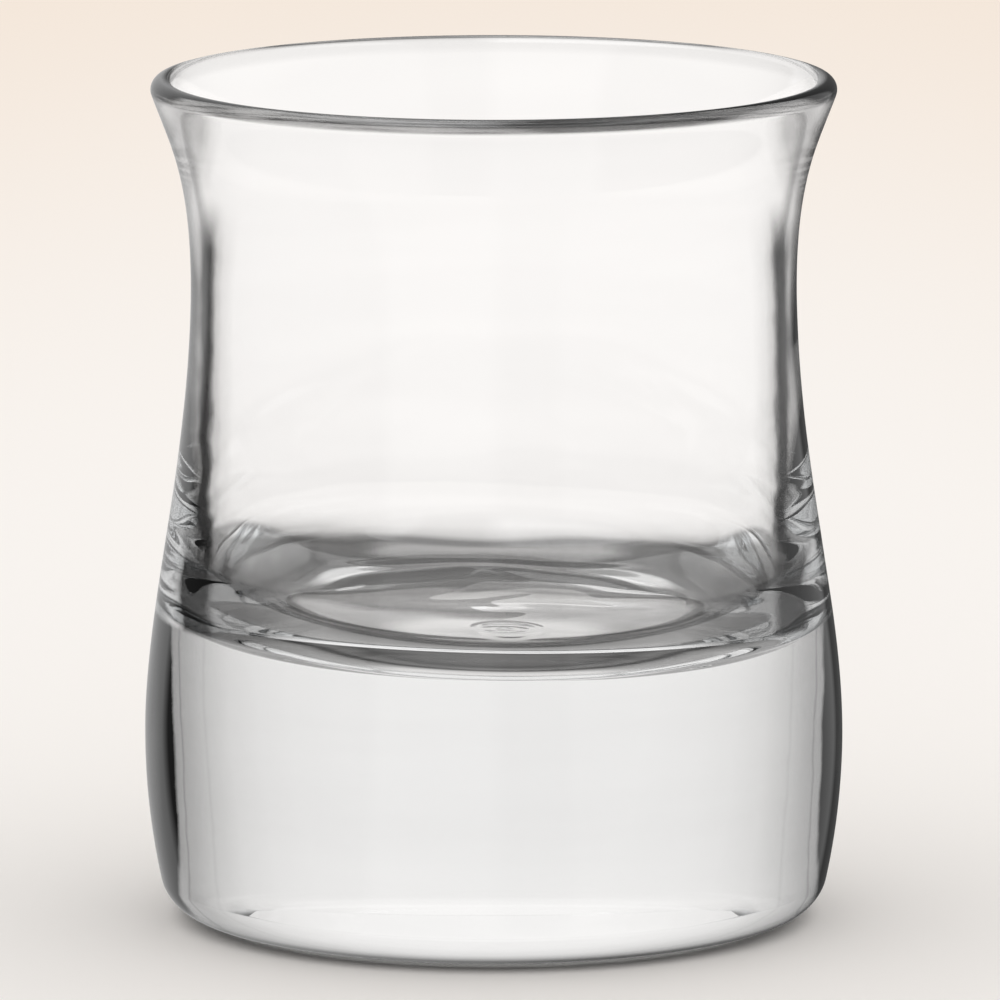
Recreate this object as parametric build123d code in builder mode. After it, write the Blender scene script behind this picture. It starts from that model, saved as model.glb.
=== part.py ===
"""Shot glass: one piece of clear glass, a waisted bowl with a flared rim on a heavy solid base.

Millimetres, +Z up. The origin is the centre of the foot, on the surface that the glass stands on.
"""

from build123d import *
import os
from math import cos, radians, sin

# Foot and base
foot_radius = 21.1  # outer edge of the flat ring that the glass stands on
foot_ring_width = 2.6
underside_depth = 0.45  # shallow hollow under the base, so that it stands on the ring
heel_radius = 3.2  # rounding between the foot and the side
heel_lean = 12.0  # degrees that the side leans outwards above the heel
base_thickness = 19.4  # solid glass under the cavity

# Outside of the wall, from the heel to the rim: (radius, height)
belly = (25.3, 15.0)
shoulder = (24.53, 22.5)
waist_run_in = (23.13, 31.55)
waist = (21.94, 44.3)
flare_run_in = (23.15, 55.6)

# Inside of the wall, from the rim down to the corner above the floor
inner_flare = (21.46, 52.9)
inner_waist = (20.94, 44.8)
inner_run_in = (21.42, 34.8)
corner_radius = 7.0  # between the wall and the floor of the cavity
corner_top_radius = 21.55  # of the cavity, where the corner begins

# Rim: a fire-polished bead, rounder and thicker than the wall
rim_top = 61.0
lip_radius = 0.86
lip_circle_radius = 23.92  # of the circle that the bead's centre follows
flare_angle = 20.0  # degrees that the wall leans outwards where it meets the bead

# Points worked out from those
heel_turn = radians(90 - heel_lean)
heel_top = (foot_radius + heel_radius * sin(heel_turn), heel_radius * (1 - cos(heel_turn)))
heel_mid = (
    foot_radius + heel_radius * sin(heel_turn / 2),
    heel_radius * (1 - cos(heel_turn / 2)),
)
heel_direction = (sin(radians(heel_lean)), cos(radians(heel_lean)))
lip_centre = (lip_circle_radius, rim_top - lip_radius)
flare_direction = (sin(radians(flare_angle)), cos(radians(flare_angle)))
lip_outside = (
    lip_centre[0] + lip_radius * flare_direction[1],
    lip_centre[1] - lip_radius * flare_direction[0],
)
lip_crown = (
    lip_centre[0] + lip_radius * flare_direction[0],
    lip_centre[1] + lip_radius * flare_direction[1],
)
lip_inside = (
    lip_centre[0] - lip_radius * flare_direction[1],
    lip_centre[1] + lip_radius * flare_direction[0],
)
corner_top = (corner_top_radius, base_thickness + corner_radius)
corner_mid = (
    corner_top_radius - corner_radius * (1 - cos(radians(45))),
    base_thickness + corner_radius * (1 - sin(radians(45))),
)
floor_edge = (corner_top_radius - corner_radius, base_thickness)
hollow_edge = (foot_radius - foot_ring_width, 0)
hollow_mid = (hollow_edge[0] / 2, underside_depth * 3 / 4)
hollow_centre = (0, underside_depth)

# The whole glass is one outline, revolved
with BuildPart() as glass_body:
    with BuildSketch(Plane.XZ):
        with BuildLine():
            ThreePointArc(hollow_centre, hollow_mid, hollow_edge)
            Line(hollow_edge, (foot_radius, 0))
            ThreePointArc((foot_radius, 0), heel_mid, heel_top)
            Spline(
                heel_top,
                belly,
                shoulder,
                waist_run_in,
                waist,
                flare_run_in,
                lip_outside,
                tangents=[heel_direction, flare_direction],
            )
            ThreePointArc(lip_outside, lip_crown, lip_inside)
            Spline(
                lip_inside,
                inner_flare,
                inner_waist,
                inner_run_in,
                corner_top,
                tangents=[(-flare_direction[0], -flare_direction[1]), (0, -1)],
            )
            ThreePointArc(corner_top, corner_mid, floor_edge)
            Line(floor_edge, (0, base_thickness))
            Line((0, base_thickness), hollow_centre)
        make_face()
    revolve(axis=Axis.Z)
glass_body.part.label = "glass_body"

os.makedirs("parts", exist_ok=True)
export_step(glass_body.part, "parts/glass_body.step")
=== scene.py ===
"""Shot glass: the finished clear glass on a pale floor, under soft studio light.

Metres, +Z up, in the same frame as the CAD part. The visible glass is a fine surface of revolution
with the CAD part's dimensions, and the small unevenness that pressed glass has.
"""

import math
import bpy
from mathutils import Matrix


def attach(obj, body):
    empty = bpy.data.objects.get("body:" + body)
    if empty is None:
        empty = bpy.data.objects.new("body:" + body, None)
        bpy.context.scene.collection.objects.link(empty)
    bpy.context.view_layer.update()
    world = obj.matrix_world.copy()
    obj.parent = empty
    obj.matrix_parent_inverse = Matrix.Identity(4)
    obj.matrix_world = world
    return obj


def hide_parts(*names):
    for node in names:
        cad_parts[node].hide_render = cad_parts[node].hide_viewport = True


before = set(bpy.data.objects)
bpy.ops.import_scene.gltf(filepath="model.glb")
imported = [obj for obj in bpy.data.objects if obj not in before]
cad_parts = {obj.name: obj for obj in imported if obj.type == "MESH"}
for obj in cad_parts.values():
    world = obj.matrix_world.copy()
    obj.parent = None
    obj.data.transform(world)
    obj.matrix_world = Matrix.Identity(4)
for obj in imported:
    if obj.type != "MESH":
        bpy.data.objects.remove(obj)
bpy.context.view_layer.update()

from types import SimpleNamespace

import bpy
import numpy as np
from mathutils import Vector

MM = 0.001

# Foot and base
FOOT_RADIUS = 21.1 * MM
FOOT_RING_WIDTH = 2.6 * MM
UNDERSIDE_DEPTH = 0.45 * MM
HEEL_RADIUS = 3.2 * MM
HEEL_LEAN = math.radians(12.0)  # that the side leans outwards above the heel
BASE_THICKNESS = 19.4 * MM

# Outside of the wall, from the heel to the rim: (radius, height)
BELLY = (25.3 * MM, 15.0 * MM)
SHOULDER = (24.53 * MM, 22.5 * MM)
WAIST_RUN_IN = (23.13 * MM, 31.55 * MM)
WAIST = (21.94 * MM, 44.3 * MM)
FLARE_RUN_IN = (23.15 * MM, 55.6 * MM)

# Inside of the wall, from the rim down to the corner above the floor of the cavity
INNER_FLARE = (21.46 * MM, 52.9 * MM)
INNER_WAIST = (20.94 * MM, 44.8 * MM)
INNER_RUN_IN = (21.42 * MM, 34.8 * MM)
CORNER_RADIUS = 7.0 * MM
CORNER_TOP_RADIUS = 21.55 * MM

# Rim
RIM_TOP = 61.0 * MM
LIP_RADIUS = 0.86 * MM
LIP_CIRCLE_RADIUS = 23.92 * MM
FLARE_ANGLE = math.radians(20.0)

# Points along each run of the outline, and round the glass
HOLLOW_POINTS = 20
RING_POINTS = 6
HEEL_POINTS = 24
OUTSIDE_POINTS = 110
RIM_POINTS = 32
INSIDE_POINTS = 90
CORNER_POINTS = 36
FLOOR_POINTS = 50
SEGMENTS = 256

# Waves in the wall: (how many, whole turns round the glass, length along the wall, height), and the
# heights between which they rise and between which they fall
LONG_WAVES = (14, (1, 6), (7 * MM, 20 * MM), 0.010 * MM)
LONG_WAVES_REACH = ((22 * MM, 30 * MM), (46 * MM, 56 * MM))
FINE_WAVES = (18, (2, 14), (2.6 * MM, 7 * MM), 0.0025 * MM)
FINE_WAVES_REACH = ((20 * MM, 27 * MM), (38 * MM, 52 * MM))
OUTER_WAVES = (12, (0, 3), (4 * MM, 12 * MM), 0.004 * MM)
OUTER_WAVES_REACH = ((3 * MM, 7 * MM), (48 * MM, 56 * MM))

# The cavity's floor, whose unevenness fades out up the wall
CAVITY_TILT = 0.0195  # how steeply it rises towards -X
FLOOR_FADE = (22 * MM, 34 * MM)
RING_RADIUS = 15.8 * MM
RING_WIDENING = 1.4 * MM  # how much larger its radius is at RING_WIDENING_REACH to either side
RING_WIDENING_REACH = 12 * MM
RING_WIDENING_LIMIT = 1.1  # it stops growing at this many times that reach
RING_LINE = 0.8 * MM
RING_HEIGHT = 0.14 * MM
MARK_CENTRE = (1.0 * MM, -12.0 * MM)
MARK_RADIUS = 2.5 * MM
MARK_LENGTH = 1.2  # from front to back, as a share of its width
CURL_CENTRE = (0.8 * MM, -11.8 * MM)
CURL_RADIUS = 0.7 * MM
CURL_WIDTH = 1.8  # from side to side, as a share of its length
MARK_LINE = 0.4 * MM
MARK_HEIGHT = 0.13 * MM
RIPPLE_FADE = (12 * MM, 18 * MM)
RIPPLE_LENGTH = 1.9 * MM
RIPPLE_SWAY = 1.3
RIPPLE_SWAY_LENGTH = 2.2 * MM
RIPPLE_START = 0.8
RIPPLE_HEIGHT = 0.03 * MM

# Glass
REFRACTIVE_INDEX = 1.52
BODY_COLOUR = (0.50, 0.55, 0.58)
BODY_DENSITY = 5.6  # how strongly the colour absorbs, per metre
# Painted shade on light leaving the glass: past the first slant below, the base colour darkens to the
# share after it
SHADE_OUT_SLANT = (0.225, 0.243)  # past this slant most of the light can't leave the glass
SHADE_OUT_SHARE = 0.10  # that still leaves it
CLOUD_SCALE = 60.0
CLOUD_STRETCH = (0.5, 0.5, 4)
CLOUD_RANGE = (0.3, 0.7)
CLOUD_SHARE = (0.955, 0.985)  # let through where it is cloudiest, in the base and above it
CLOUD_CHANGE = (18 * MM, 24 * MM)

# Heights at which one zone of the outside's painted shade gives way to the next
BASE_TO_CORNER = (22.0 * MM, 22.5 * MM)
CORNER_TO_WALL = (26.5 * MM, 29.5 * MM)
WALL_TO_FLARE = (49 * MM, 54 * MM)
FLARE_TO_LIP = (59.95 * MM, 60.2 * MM)

# How far the painted shade's dark edges wander, in mm from the middle of the view
JAG_SCALE = 300.0
JAG_RANGE = (0.2, 0.8)
BASE_WANDER = 0.08
CORNER_WANDER = 0.35
WALL_WANDER = 0.6
WALL_WANDER_SHARE = (0.8, 0.15)  # low in the wall and high in it
WALL_WANDER_CHANGE = (24 * MM, 44 * MM)
HEIGHT_WANDER = 0.5 * MM  # of the height at which the corner gives way to the wall
# A shift of the base's painted dark band at +X
SIDE_SHIFT = -0.6  # of the base's dark band at +X
SIDE_SHIFT_CHANGE = (8 * MM, 20 * MM)

# Painted shade on the outside: the grey painted into the glass's base colour, 1 for none, by how far from
# the middle of the view in mm the light meets it
BASE_PAINTED_SHADE = (
    (4, 1.0), (11, 0.99), (14.8, 0.95), (17, 0.90), (19.1, 0.81), (20.8, 0.66), (20.95, 0.60),
    (21.1, 0.635), (22.1, 0.52), (22.6, 0.47), (22.7, 0.34), (22.8, 0.46), (23.15, 0.42), (23.35, 0.0),
    (24.2, 0.0), (25, 0.08),
)  # fmt: skip
# Painted shade in the zone above the cavity's corner
CORNER_PAINTED_SHADE = (
    (12, 1.0), (14, 0.84), (16, 0.60), (18, 0.44), (20, 0.36), (20.4, 0.22), (20.8, 0.09), (22.3, 0.07),
    (22.6, 0.50), (23.1, 0.8), (24, 1.0),
)  # fmt: skip
# Painted shade on the wall
WALL_PAINTED_SHADE = (
    (18.8, 1.0), (19.7, 0.87), (20.15, 0.66), (20.4, 0.26), (20.6, 0.08), (21.05, 0.08), (21.4, 0.50),
    (22.0, 0.70), (24, 0.85),
)  # fmt: skip
# Painted shade on the flare
FLARE_PAINTED_SHADE = ((19, 1.0), (21.0, 0.98), (21.6, 0.86), (22.1, 0.64), (23.5, 0.62), (24.5, 0.85))
# Painted shade along the bottom of the foot's edge, where it meets the floor
FOOT_EDGE_SHADE = 0.12  # of the base's share, at the bottom of the foot's edge
FOOT_EDGE = (-0.2 * MM, 1.0 * MM)
# Painted shade on the lip: a grey band broken into streaks, darker in them and lighter between
LIP_PAINTED_SHADE = (0.22, 0.55)  # in the lip's dark streaks and between them
STREAK_SCALE = 1500.0
STREAK_STRETCH = (0.05, 0.05, 1)  # long round the glass and fine in height
STREAK_RANGE = (0.40, 0.62)

# The slant above which painted shade darkens the corner of the cavity, by height in mm
CORNER_SLANT = (
    (19.4, 0.64), (20.2, 0.40), (20.8, 0.28), (21.2, 0.24), (21.6, 0.26), (22.4, 0.35), (23, 0.42),
    (24, 0.52), (26, 0.72),
)  # fmt: skip
CORNER_SOFTNESS = (-0.02, 0.04)
# The grey of the corner's painted shade, low and high
CORNER_SHARE = (0.25, 0.42)  # that its dark part lets in, low and high
CORNER_SHARE_CHANGE = (20.8, 22.2)  # in mm of height
CORNER_TOP = 26 * MM
# A little painted shade at the inside of the rim
INNER_RIM = (59.7 * MM, 60.3 * MM)
INNER_RIM_SHADE = 0.9

# The back of the heel, where light goes straight out
HEEL_BACK_HEIGHT = 1.5 * MM
HEEL_BACK_RADIUS = 16 * MM
HEEL_BACK_SLANT = (0.5, 0.2)  # the least slant at the floor, and from HEEL_BACK_RISE up
HEEL_BACK_RISE = 1.0 * MM
HEEL_BACK_LIFT = 0.45  # how much the normal there leans upwards, for 1 inwards

# The surround's brightness at each angle above the horizon
THROUGH_THE_GLASS = (
    (-90, 0.42), (-72, 0.34), (-64, 0.22), (-57, 0.44), (-54, 0.40), (-51, 0.14), (-48.5, 0.16),
    (-45, 0.62), (-40, 0.87), (-34, 0.98), (-28, 1.01), (-3, 1.01), (4, 1.07), (12, 1.16), (22, 1.14),
    (27, 1.02), (32, 0.60), (38, 0.55), (50, 0.92), (58, 0.90), (66, 1.02), (90, 1.02),
)  # fmt: skip
IN_REFLECTIONS = ((-60, 0.10), (-20, 0.16), (-4, 0.24), (20, 0.24), (45, 0.30), (60, 1.3), (90, 1.3))
# How much brighter reflections are towards each side, from -X at -1 to +X at 1
SIDE_LIGHT = (
    (-1, 0.35), (-0.68, 0.35), (-0.60, 2.6), (-0.05, 2.6), (0.08, 0.5), (0.38, 0.5), (0.46, 1.8), (1, 1.8),
)  # fmt: skip
THROUGH_TINT = (1.0, 0.978, 0.96)
DIRECT_COLOUR = (1.0, 0.965, 0.93)
DIRECT_STRENGTH = 1.06
HORIZON_COLOUR = (0.906, 0.793, 0.690)

# Stage
# The floor's colours: near white round the glass, a painted pool of light, and warmer further off
FLOOR_NEAR_COLOUR = (0.89, 0.885, 0.88)
FLOOR_FAR_COLOUR = (0.855, 0.775, 0.70)
FLOOR_HALF_WIDTH = 30.0
FLOOR_DROP = 0.4 * MM
FLOOR_STRETCH = (4, 1, 1)  # its colour changes this much faster from side to side
FLOOR_CHANGE = (0.20, 0.68)
SHADOW_HALF_WIDTH = 60 * MM
SHADOW_DROP = 0.3 * MM
SHADOW_MIDDLE = (7 * MM, 12 * MM)
SHADOW_SHARE = (0.8, 0.38)  # of the light that passes, in the middle and round it
SHADOW_EDGE = (22 * MM, 46 * MM)

# Camera
CAMERA_ELEVATION = math.radians(9.06)
CAMERA_DISTANCE = 0.986
CAMERA_TARGET = Vector((0, 0, 31.2 * MM))
CAMERA_SENSOR = 36.0
CAMERA_LENS = 489.6
CAMERA_SHIFT = (0.0062, -0.0157)

random = np.random.default_rng(7)


# The outline


def arc(centre, radius, start, end, steps):
    """Points along an arc, from angle start to angle end in radians."""
    angle = np.linspace(start, end, steps)
    return np.c_[centre[0] + radius * np.cos(angle), centre[1] + radius * np.sin(angle)]


def spline(points, start, end, steps):
    """Points along the smooth curve through the given ones, with a set direction at each end."""
    points = np.array(points)
    knots = np.concatenate([[0], np.cumsum(np.linalg.norm(np.diff(points, axis=0), axis=1))])
    gaps = np.diff(knots)
    count = len(points)
    system = np.eye(count)
    slopes = np.zeros((count, 2))
    slopes[0], slopes[-1] = start, end
    for i in range(1, count - 1):
        before, after = gaps[i - 1], gaps[i]
        system[i, i - 1 : i + 2] = after, 2 * (before + after), before
        rise_in, rise_out = points[i] - points[i - 1], points[i + 1] - points[i]
        slopes[i] = 3 * (after / before * rise_in + before / after * rise_out)
    slopes = np.linalg.solve(system, slopes)
    along = np.linspace(0, knots[-1], steps)
    k = np.clip(np.searchsorted(knots, along, side="right") - 1, 0, count - 2)
    gap = gaps[k][:, None]
    t = (along - knots[k])[:, None] / gap
    return (
        (2 * t**3 - 3 * t**2 + 1) * points[k]
        + (t**3 - 2 * t**2 + t) * gap * slopes[k]
        + (3 * t**2 - 2 * t**3) * points[k + 1]
        + (t**3 - t**2) * gap * slopes[k + 1]
    )


def outline():
    """The glass's half section, from the middle of the underside round to the middle of the cavity."""
    hollow_edge = FOOT_RADIUS - FOOT_RING_WIDTH
    hollow_radius = (hollow_edge**2 + UNDERSIDE_DEPTH**2) / (2 * UNDERSIDE_DEPTH)
    hollow_half_angle = math.asin(hollow_edge / hollow_radius)
    flare = (math.sin(FLARE_ANGLE), math.cos(FLARE_ANGLE))
    lean = (math.sin(HEEL_LEAN), math.cos(HEEL_LEAN))
    lip = (LIP_CIRCLE_RADIUS, RIM_TOP - LIP_RADIUS)
    lip_outside = (lip[0] + LIP_RADIUS * flare[1], lip[1] - LIP_RADIUS * flare[0])
    lip_inside = (lip[0] - LIP_RADIUS * flare[1], lip[1] + LIP_RADIUS * flare[0])
    corner_start = (CORNER_TOP_RADIUS, BASE_THICKNESS + CORNER_RADIUS)
    floor_radius = CORNER_TOP_RADIUS - CORNER_RADIUS
    quarter = math.pi / 2

    hollow_centre = (0, UNDERSIDE_DEPTH - hollow_radius)
    hollow = arc(hollow_centre, hollow_radius, quarter, quarter - hollow_half_angle, HOLLOW_POINTS)
    ring = np.c_[np.linspace(hollow_edge, FOOT_RADIUS, RING_POINTS), np.zeros(RING_POINTS)]
    heel = arc((FOOT_RADIUS, HEEL_RADIUS), HEEL_RADIUS, -quarter, -HEEL_LEAN, HEEL_POINTS)
    outside = spline(
        [heel[-1], BELLY, SHOULDER, WAIST_RUN_IN, WAIST, FLARE_RUN_IN, lip_outside],
        lean,
        flare,
        OUTSIDE_POINTS,
    )
    rim = arc(lip, LIP_RADIUS, -FLARE_ANGLE, math.pi - FLARE_ANGLE, RIM_POINTS)
    inside = spline(
        [lip_inside, INNER_FLARE, INNER_WAIST, INNER_RUN_IN, corner_start],
        (-flare[0], -flare[1]),
        (0, -1),
        INSIDE_POINTS,
    )
    corner = arc((floor_radius, corner_start[1]), CORNER_RADIUS, 0, -quarter, CORNER_POINTS)
    floor = np.c_[np.linspace(floor_radius, 0, FLOOR_POINTS), np.full(FLOOR_POINTS, BASE_THICKNESS)]
    runs = [hollow, ring, heel, outside, rim, inside, corner, floor]
    return np.concatenate([runs[0]] + [run[1:] for run in runs[1:]])


# The glass's unevenness


def smoothstep(value, low, high):
    """0 below low, 1 above high, and a smooth change between."""
    t = np.clip((value - low) / (high - low), 0, 1)
    return t * t * (3 - 2 * t)


def between(value, rise, fall):
    """0, then 1 past the rise, then 0 again past the fall."""
    return smoothstep(value, *rise) * (1 - smoothstep(value, *fall))


def bump(value, middle, width):
    """1 in the middle, falling softly to 0 over a few widths."""
    return np.exp(-(((value - middle) / width) ** 2))


def waves(angle, along, count, turns, length, strength):
    """A random sum of soft waves round the glass and along its wall, strength high on average."""
    total = np.zeros(np.broadcast(angle, along).shape)
    for _ in range(count):
        n = random.integers(turns[0], turns[1] + 1) * random.choice([-1, 1])
        k = 2 * math.pi / random.uniform(*length)
        total += np.sin(n * angle + k * along + random.uniform(0, 2 * math.pi))
    return total * strength * math.sqrt(2 / count)


def wall_waves(height, turn, inside):
    """Long and short waves on the inside of the wall, and slighter ones on its outside."""
    inner = between(height, *LONG_WAVES_REACH) * waves(turn, height, *LONG_WAVES)
    inner += between(height, *FINE_WAVES_REACH) * waves(turn, height, *FINE_WAVES)
    outer = between(height, *OUTER_WAVES_REACH) * waves(turn, height, *OUTER_WAVES)
    return np.where(inside, inner, outer)


def floor_marks(radius, across, back):
    """The height of the ring round the cavity's floor, of the curled mark on it and of its ripples."""
    aside = np.minimum(np.abs(across) / RING_WIDENING_REACH, RING_WIDENING_LIMIT)
    ring = RING_HEIGHT * bump(radius, RING_RADIUS + RING_WIDENING * aside**2, RING_LINE)
    from_mark = np.hypot(across - MARK_CENTRE[0], (back - MARK_CENTRE[1]) / MARK_LENGTH)
    from_curl = np.hypot((across - CURL_CENTRE[0]) / CURL_WIDTH, back - CURL_CENTRE[1])
    mark = bump(from_mark, MARK_RADIUS, MARK_LINE) + bump(from_curl, CURL_RADIUS, MARK_LINE)
    sway = RIPPLE_SWAY * np.sin(back / RIPPLE_SWAY_LENGTH)
    ripple = np.sin(across / RIPPLE_LENGTH + sway + RIPPLE_START) * (1 - smoothstep(radius, *RIPPLE_FADE))
    return ring + MARK_HEIGHT * mark + RIPPLE_HEIGHT * ripple


def uneven(points, angle):
    """How far each outline point moves outwards and upwards at each angle round the glass."""
    radius, height = points[:, :1], points[:, 1:]
    turn = angle[None, :]
    # Each of these three runs starts on a point of the run before, and the last point isn't a ring
    cavity_rings = INSIDE_POINTS + CORNER_POINTS + FLOOR_POINTS - 3 - 1
    inside = np.arange(len(points))[:, None] >= len(points) - cavity_rings
    across, back = radius * np.cos(turn), radius * np.sin(turn)
    low = 1 - smoothstep(height, *FLOOR_FADE)
    raised = low * (floor_marks(radius, across, back) - CAVITY_TILT * across)
    return wall_waves(height, turn, inside), np.where(inside, raised, 0.0)


def revolve(name, points):
    """A closed mesh from the outline, turned about Z."""
    angle = np.arange(SEGMENTS) * 2 * math.pi / SEGMENTS
    rings = points[1:-1]
    outward, upward = uneven(rings, angle)
    radius = rings[:, :1] + outward
    height = rings[:, 1:] + upward
    grid = np.stack([radius * np.cos(angle), radius * np.sin(angle), height], axis=2).reshape(-1, 3)
    verts = np.concatenate([[(0, 0, points[0][1])], grid, [(0, 0, points[-1][1])]])
    last = len(verts) - 1
    top_ring = last - SEGMENTS
    here = np.arange(SEGMENTS)
    there = (here + 1) % SEGMENTS
    faces = [(0, 1 + b, 1 + a) for a, b in zip(here, there)]
    for low in range(1, top_ring, SEGMENTS):
        high = low + SEGMENTS
        faces += [(low + a, low + b, high + b, high + a) for a, b in zip(here, there)]
    faces += [(top_ring + a, top_ring + b, last) for a, b in zip(here, there)]
    mesh = bpy.data.meshes.new(name)
    mesh.from_pydata(verts.tolist(), [], [tuple(int(v) for v in face) for face in faces])
    mesh.polygons.foreach_set("use_smooth", [True] * len(mesh.polygons))
    mesh.update()
    piece = bpy.data.objects.new(name, mesh)
    bpy.context.scene.collection.objects.link(piece)
    return piece


# Node helpers


def new_tree(owner):
    """The empty node tree of a material or a world."""
    owner.use_nodes = True
    owner.node_tree.nodes.clear()
    return owner.node_tree


def node(tree, kind, **settings):
    """A new node with its settings."""
    made = tree.nodes.new(kind)
    for key, value in settings.items():
        setattr(made, key, value)
    return made


def feed(tree, socket, value):
    """Link a socket to another one, or set its value."""
    if isinstance(value, bpy.types.NodeSocket):
        tree.links.new(value, socket)
    else:
        socket.default_value = value


def maths(tree, operation, a, b=0.0, c=0.0):
    """A sum on numbers."""
    made = node(tree, "ShaderNodeMath", operation=operation)
    for socket, given in zip(made.inputs, (a, b, c)):
        feed(tree, socket, given)
    return made.outputs[0]


def vector(tree, operation, a, b=(0, 0, 0)):
    """A sum on vectors. A length or a dot product comes out as a number."""
    made = node(tree, "ShaderNodeVectorMath", operation=operation)
    feed(tree, made.inputs[0], a)
    feed(tree, made.inputs[1], b)
    return made.outputs["Value" if operation in ("LENGTH", "DOT_PRODUCT") else "Vector"]


def step_between(tree, value, low, high, at_low=0.0, at_high=1.0, shape="SMOOTHSTEP"):
    """at_low below low, at_high above high, and a smooth or a LINEAR change between."""
    made = node(tree, "ShaderNodeMapRange", interpolation_type=shape)
    for socket, given in zip(made.inputs, (value, low, high, at_low, at_high)):
        feed(tree, socket, given)
    return made.outputs[0]


def mix_between(tree, factor, at_zero, at_one):
    """A number between two others."""
    made = node(tree, "ShaderNodeMix", data_type="FLOAT")
    feed(tree, made.inputs[0], factor)
    feed(tree, made.inputs[2], at_zero)
    feed(tree, made.inputs[3], at_one)
    return made.outputs[0]


def ramp(tree, value, stops, tint=(1, 1, 1)):
    """A ramp of greys, or of one tint: (place from 0 to 1, brightness) for each stop."""
    made = node(tree, "ShaderNodeValToRGB")
    made.color_ramp.interpolation = "LINEAR"
    feed(tree, made.inputs[0], value)
    elements = made.color_ramp.elements
    elements.remove(elements[-1])
    for i, (place, grey) in enumerate(stops):
        element = elements[0] if i == 0 else elements.new(place)
        element.position = place
        element.color = (grey * tint[0], grey * tint[1], grey * tint[2], 1)
    return made.outputs[0]


def curve(tree, value, points):
    """A line through (value, result) points, with every result from 0 to 1."""
    first, last = points[0][0], points[-1][0]
    place = step_between(tree, value, first, last, shape="LINEAR")
    return ramp(tree, place, [((at - first) / (last - first), result) for at, result in points])


def noise(tree, place, scale, detail, stretch=(1, 1, 1)):
    """Soft random change from 0 to 1 over a place on the glass."""
    mapping = node(tree, "ShaderNodeMapping")
    feed(tree, mapping.inputs["Vector"], place)
    mapping.inputs["Scale"].default_value = stretch
    made = node(tree, "ShaderNodeTexNoise")
    feed(tree, made.inputs["Vector"], mapping.outputs[0])
    made.inputs["Scale"].default_value = scale
    made.inputs["Detail"].default_value = detail
    return made.outputs[0]


def grey(tree, value):
    """The grey colour of a number."""
    made = node(tree, "ShaderNodeCombineColor")
    for channel in made.inputs[:3]:
        feed(tree, channel, value)
    return made.outputs[0]


def show(tree, shader):
    """Make the shader the material's surface, and return the output node."""
    output = node(tree, "ShaderNodeOutputMaterial")
    tree.links.new(shader.outputs[0], output.inputs["Surface"])
    return output


# The glass's material


def where_light_meets(tree):
    """Where on the glass light meets it, and how much at a slant.

    The slant is 0 for light that meets the glass squarely and 1 for light that skims it. Aside is how
    far from the middle of the view the light passes, in mm.
    """
    facing = node(tree, "ShaderNodeLayerWeight")
    facing.inputs["Blend"].default_value = 0.5
    geometry = node(tree, "ShaderNodeNewGeometry")
    position, normal = geometry.outputs["Position"], geometry.outputs["Normal"]
    place = node(tree, "ShaderNodeSeparateXYZ")
    feed(tree, place.inputs[0], position)
    slant = facing.outputs["Facing"]
    cosine = maths(tree, "SUBTRACT", 1.0, slant)
    sine = maths(tree, "SQRT", maths(tree, "SUBTRACT", 1.0, maths(tree, "MULTIPLY", cosine, cosine)))
    outwards = vector(tree, "MULTIPLY", position, (1, 1, 0))
    radius = vector(tree, "LENGTH", outwards)
    return SimpleNamespace(
        position=position,
        normal=normal,
        outwards=outwards,
        across=place.outputs["X"],
        height=place.outputs["Z"],
        radius=radius,
        slant=slant,
        aside=maths(tree, "DIVIDE", maths(tree, "MULTIPLY", radius, sine), MM),
        faces_out=maths(tree, "GREATER_THAN", vector(tree, "DOT_PRODUCT", outwards, normal), 0.0),
        comes_from_inside=geometry.outputs["Backfacing"],
    )


def painted_shade_outside(tree, at):
    """Painted shade on the outside: the grey painted into the glass's base colour, zone by zone from the
    foot to the lip.
    """
    jagged = noise(tree, at.position, JAG_SCALE, 3.0)

    def wander_by(amount):
        return step_between(tree, jagged, *JAG_RANGE, -amount, amount)

    shift = step_between(tree, at.across, *SIDE_SHIFT_CHANGE, 0.0, SIDE_SHIFT)
    aside = maths(tree, "ADD", maths(tree, "ADD", at.aside, wander_by(BASE_WANDER)), shift)
    # Painted shade at the bottom of the foot's edge
    foot_edge_shade = step_between(tree, at.height, *FOOT_EDGE, FOOT_EDGE_SHADE, 1.0)
    base = maths(tree, "MULTIPLY", curve(tree, aside, BASE_PAINTED_SHADE), foot_edge_shade)
    corner = curve(tree, maths(tree, "ADD", at.aside, wander_by(CORNER_WANDER)), CORNER_PAINTED_SHADE)
    wander = step_between(tree, at.height, *WALL_WANDER_CHANGE, *WALL_WANDER_SHARE)
    wander = maths(tree, "MULTIPLY", wander_by(WALL_WANDER), wander)
    wall = curve(tree, maths(tree, "ADD", at.aside, wander), WALL_PAINTED_SHADE)
    flare = curve(tree, at.aside, FLARE_PAINTED_SHADE)
    # The lip's painted shade, broken into streaks
    streaks = noise(tree, at.position, STREAK_SCALE, 2.0, STREAK_STRETCH)
    lip = step_between(tree, streaks, *STREAK_RANGE, *LIP_PAINTED_SHADE)

    # The painted shade's grey, blended zone by zone up the glass
    share = mix_between(tree, step_between(tree, at.height, *BASE_TO_CORNER), base, corner)
    jagged_height = maths(tree, "ADD", at.height, wander_by(HEIGHT_WANDER))
    share = mix_between(tree, step_between(tree, jagged_height, *CORNER_TO_WALL), share, wall)
    share = mix_between(tree, step_between(tree, at.height, *WALL_TO_FLARE), share, flare)
    return mix_between(tree, step_between(tree, at.height, *FLARE_TO_LIP), share, lip)


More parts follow.
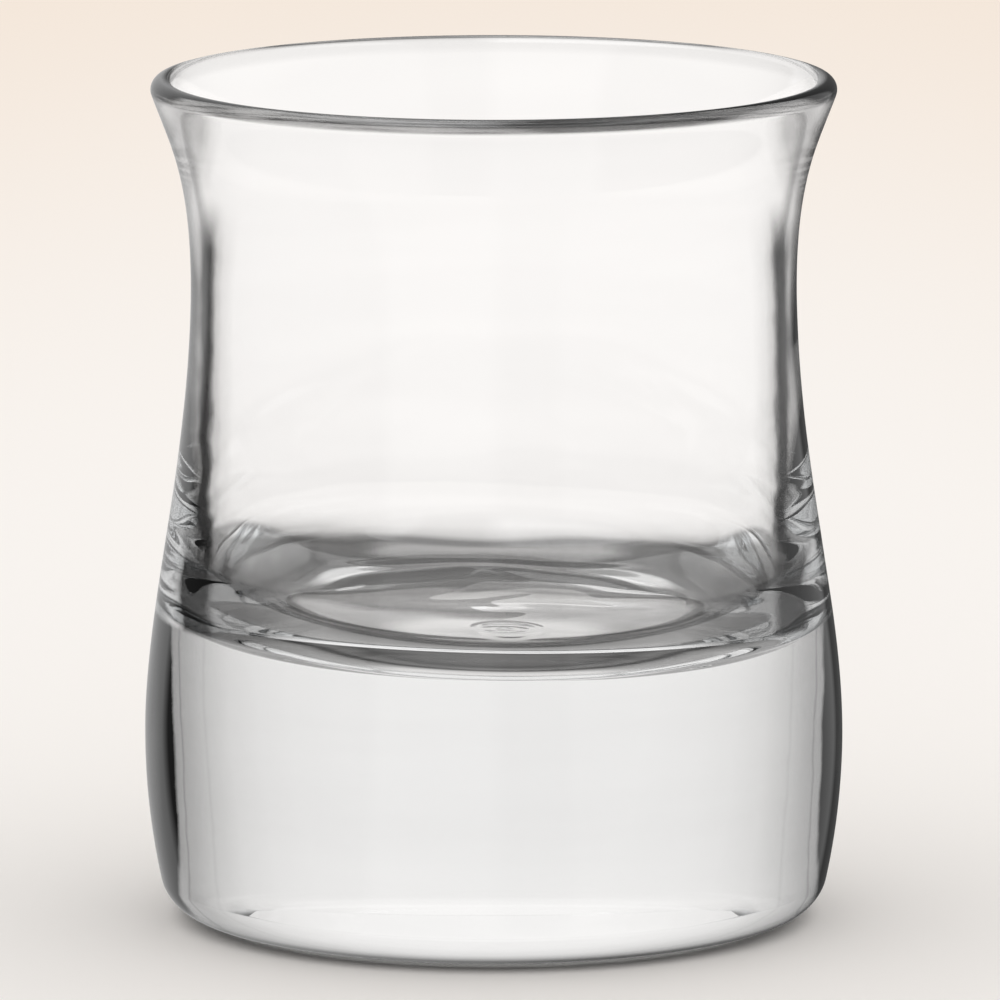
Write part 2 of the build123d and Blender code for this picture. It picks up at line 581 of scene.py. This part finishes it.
def painted_shade_cavity(tree, at):
    """Painted shade on the cavity's side: a darker grey in its corner, where met at a slant, and a little
    at the rim.
    """
    # The height in mm, as if the cavity's floor stood level
    tilt = maths(tree, "MULTIPLY", at.across, CAVITY_TILT)
    height = maths(tree, "DIVIDE", maths(tree, "ADD", at.height, tilt), MM)
    beyond = maths(tree, "SUBTRACT", at.slant, curve(tree, height, CORNER_SLANT))
    darkest = step_between(tree, height, *CORNER_SHARE_CHANGE, *CORNER_SHARE)
    corner = step_between(tree, beyond, *CORNER_SOFTNESS, 1.0, darkest)
    rim = step_between(tree, at.height, *INNER_RIM, 1.0, INNER_RIM_SHADE)
    return mix_between(tree, maths(tree, "LESS_THAN", at.height, CORNER_TOP), rim, corner)


def back_of_the_heel(tree, at):
    """1 where light skims out through the heel, and 0 elsewhere."""
    low = maths(tree, "LESS_THAN", at.height, HEEL_BACK_HEIGHT)
    outer = maths(tree, "GREATER_THAN", at.radius, HEEL_BACK_RADIUS)
    least_slant = step_between(tree, at.height, 0.0, HEEL_BACK_RISE, *HEEL_BACK_SLANT)
    skimming = maths(tree, "GREATER_THAN", at.slant, least_slant)
    at_heel = maths(tree, "MULTIPLY", maths(tree, "MULTIPLY", low, outer), skimming)
    return maths(tree, "MULTIPLY", at_heel, at.comes_from_inside)


def normal_with_a_straight_way_out(tree, at, at_heel):
    """The normal, turned at the back of the heel so that no dark mark shows along the foot."""
    inwards = vector(tree, "MULTIPLY", vector(tree, "NORMALIZE", at.outwards), (-1, -1, -1))
    turned = vector(tree, "NORMALIZE", vector(tree, "ADD", inwards, (0, 0, HEEL_BACK_LIFT)))
    normal = node(tree, "ShaderNodeMix", data_type="VECTOR")
    feed(tree, normal.inputs[0], at_heel)
    feed(tree, normal.inputs[4], at.normal)
    feed(tree, normal.inputs[5], turned)
    return normal.outputs[1]


def clear_glass():
    """Clear soda-lime glass with painted shade in its grey base colour: dark where it is seen at a slant,
    as clear glass looks in a studio.
    """
    material = bpy.data.materials.new("clear_glass")
    tree = new_tree(material)
    at = where_light_meets(tree)
    at_heel = back_of_the_heel(tree, at)

    # The base colour is painted shade: a grey for light going in through the outside or the cavity,
    # squared
    painted_shade_in = mix_between(tree, at.faces_out, painted_shade_cavity(tree, at), painted_shade_outside(tree, at))
    painted_shade_in = maths(tree, "MULTIPLY", painted_shade_in, painted_shade_in)
    # Painted shade on light going out at a slant, none at the back of the heel
    painted_shade_out = step_between(tree, at.slant, *SHADE_OUT_SLANT, 1.0, SHADE_OUT_SHARE)
    painted_shade_out = mix_between(tree, at_heel, painted_shade_out, 1.0)
    share = mix_between(tree, at.comes_from_inside, painted_shade_in, painted_shade_out)
    cloud = noise(tree, at.position, CLOUD_SCALE, 3.0, CLOUD_STRETCH)
    cloudiest = step_between(tree, at.height, *CLOUD_CHANGE, *CLOUD_SHARE)
    share = maths(tree, "MULTIPLY", share, step_between(tree, cloud, *CLOUD_RANGE, cloudiest, 1.0))

    shader = node(tree, "ShaderNodeBsdfPrincipled")
    shader.inputs["Transmission Weight"].default_value = 1.0
    shader.inputs["IOR"].default_value = REFRACTIVE_INDEX
    shader.inputs["Roughness"].default_value = 0.0
    feed(tree, shader.inputs["Base Color"], grey(tree, share))
    feed(tree, shader.inputs["Normal"], normal_with_a_straight_way_out(tree, at, at_heel))
    body = node(tree, "ShaderNodeVolumeAbsorption")
    body.inputs["Color"].default_value = (*BODY_COLOUR, 1)
    body.inputs["Density"].default_value = BODY_DENSITY
    tree.links.new(body.outputs[0], show(tree, shader).inputs["Volume"])
    return material


# The stage


def shadow_of_the_foot():
    """Clear, but dark under the foot."""
    material = bpy.data.materials.new("foot_shadow")
    tree = new_tree(material)
    away = vector(tree, "LENGTH", node(tree, "ShaderNodeNewGeometry").outputs["Position"])
    under = step_between(tree, away, *SHADOW_MIDDLE, *SHADOW_SHARE)
    beyond = step_between(tree, away, *SHADOW_EDGE)
    shader = node(tree, "ShaderNodeBsdfTransparent")
    feed(tree, shader.inputs["Color"], grey(tree, mix_between(tree, beyond, under, 1.0)))
    show(tree, shader)
    return material


def pale_floor():
    """A pale floor: near white round the glass, a painted pool of light, and a little warmer further off.
    """
    material = bpy.data.materials.new("pale_floor")
    tree = new_tree(material)
    position = node(tree, "ShaderNodeNewGeometry").outputs["Position"]
    away = vector(tree, "LENGTH", vector(tree, "MULTIPLY", position, FLOOR_STRETCH))
    mix = node(tree, "ShaderNodeMix", data_type="RGBA")
    feed(tree, mix.inputs[0], step_between(tree, away, *FLOOR_CHANGE))
    mix.inputs[6].default_value = (*FLOOR_NEAR_COLOUR, 1)
    mix.inputs[7].default_value = (*FLOOR_FAR_COLOUR, 1)
    shader = node(tree, "ShaderNodeBsdfDiffuse")
    feed(tree, shader.inputs["Color"], mix.outputs[2])
    show(tree, shader)
    return material


def stage_sheet(name, half_width, drop, material):
    """A flat square of the stage, a little under the glass."""
    corners = [(x * half_width, y * half_width, -drop) for x, y in ((-1, -1), (1, -1), (1, 1), (-1, 1))]
    mesh = bpy.data.meshes.new(name)
    mesh.from_pydata(corners, [], [(0, 1, 2, 3)])
    mesh.materials.append(material)
    sheet = bpy.data.objects.new(name, mesh)
    bpy.context.scene.collection.objects.link(sheet)
    return sheet


def stage_floor():
    """The floor, and the dark that only light through the glass finds under its foot."""
    floor = stage_sheet("floor", FLOOR_HALF_WIDTH, FLOOR_DROP, pale_floor())
    floor.visible_glossy = False
    floor.visible_transmission = False
    shadow = stage_sheet("foot_shadow", SHADOW_HALF_WIDTH, SHADOW_DROP, shadow_of_the_foot())
    shadow.visible_camera = False
    shadow.visible_diffuse = False
    shadow.visible_glossy = False
    shadow.visible_shadow = False


def background(tree, colour, strength=1.0):
    """Light of one colour, or of a graded one."""
    made = node(tree, "ShaderNodeBackground")
    feed(tree, made.inputs["Color"], colour)
    feed(tree, made.inputs["Strength"], strength)
    return made.outputs[0]


def light_by_height(tree, elevation, stops, tint=(1, 1, 1), share=1.0):
    """A surround of one tint, given as (degrees above the horizon, brightness), and a share of it."""
    strongest = max(brightness for _, brightness in stops)
    places = [(0.5 + angle / 180, brightness / strongest) for angle, brightness in stops]
    graded = ramp(tree, maths(tree, "MULTIPLY_ADD", elevation, 1 / 180, 0.5), places, tint)
    return background(tree, graded, maths(tree, "MULTIPLY", strongest, share))


def light_by_side(tree, sideways):
    """How much brighter the surround's reflections are, from -X to +X."""
    strongest = max(brightness for _, brightness in SIDE_LIGHT)
    places = [(0.5 + 0.5 * at, brightness / strongest) for at, brightness in SIDE_LIGHT]
    graded = ramp(tree, maths(tree, "MULTIPLY_ADD", sideways, 0.5, 0.5), places)
    return maths(tree, "MULTIPLY", graded, strongest)


def studio_light():
    """One soft surround: even light for the floor, and a graded one for the glass to show."""
    world = bpy.data.worlds.new("studio")
    bpy.context.scene.world = world
    tree = new_tree(world)
    direction = node(tree, "ShaderNodeSeparateXYZ")
    feed(tree, direction.inputs[0], node(tree, "ShaderNodeTexCoord").outputs["Generated"])
    elevation = maths(tree, "DEGREES", maths(tree, "ARCSINE", direction.outputs["Z"]))
    side_light = light_by_side(tree, direction.outputs["X"])
    path = node(tree, "ShaderNodeLightPath")
    light = background(tree, (*DIRECT_COLOUR, 1), DIRECT_STRENGTH)
    # Light that has passed through the glass counts as glossy too, so it is chosen last
    for chosen, other in (
        ("Is Camera Ray", background(tree, (*HORIZON_COLOUR, 1))),
        ("Is Glossy Ray", light_by_height(tree, elevation, IN_REFLECTIONS, share=side_light)),
        ("Is Transmission Ray", light_by_height(tree, elevation, THROUGH_THE_GLASS, THROUGH_TINT)),
    ):
        mix = node(tree, "ShaderNodeMixShader")
        feed(tree, mix.inputs[0], path.outputs[chosen])
        tree.links.new(light, mix.inputs[1])
        tree.links.new(other, mix.inputs[2])
        light = mix.outputs[0]
    output = node(tree, "ShaderNodeOutputWorld")
    tree.links.new(light, output.inputs["Surface"])


def place_camera():
    """A long lens a little above the glass, aimed at its middle."""
    data = bpy.data.cameras.new("camera")
    camera = bpy.data.objects.new("camera", data)
    bpy.context.scene.collection.objects.link(camera)
    direction = Vector((0, -math.cos(CAMERA_ELEVATION), math.sin(CAMERA_ELEVATION)))
    camera.location = CAMERA_TARGET + CAMERA_DISTANCE * direction
    camera.rotation_euler = (math.pi / 2 - CAMERA_ELEVATION, 0, 0)
    data.sensor_width = CAMERA_SENSOR
    data.lens = CAMERA_LENS
    data.shift_x, data.shift_y = CAMERA_SHIFT
    data.clip_start = 0.01
    bpy.context.scene.camera = camera


glass = revolve("glass", outline())
glass.data.materials.append(clear_glass())
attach(glass, "root")
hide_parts("glass_body")

stage_floor()
studio_light()
place_camera()

scene = bpy.context.scene
scene.view_settings.view_transform = "Standard"
scene.cycles.max_bounces = 24
scene.cycles.transmission_bounces = 24
scene.cycles.glossy_bounces = 12
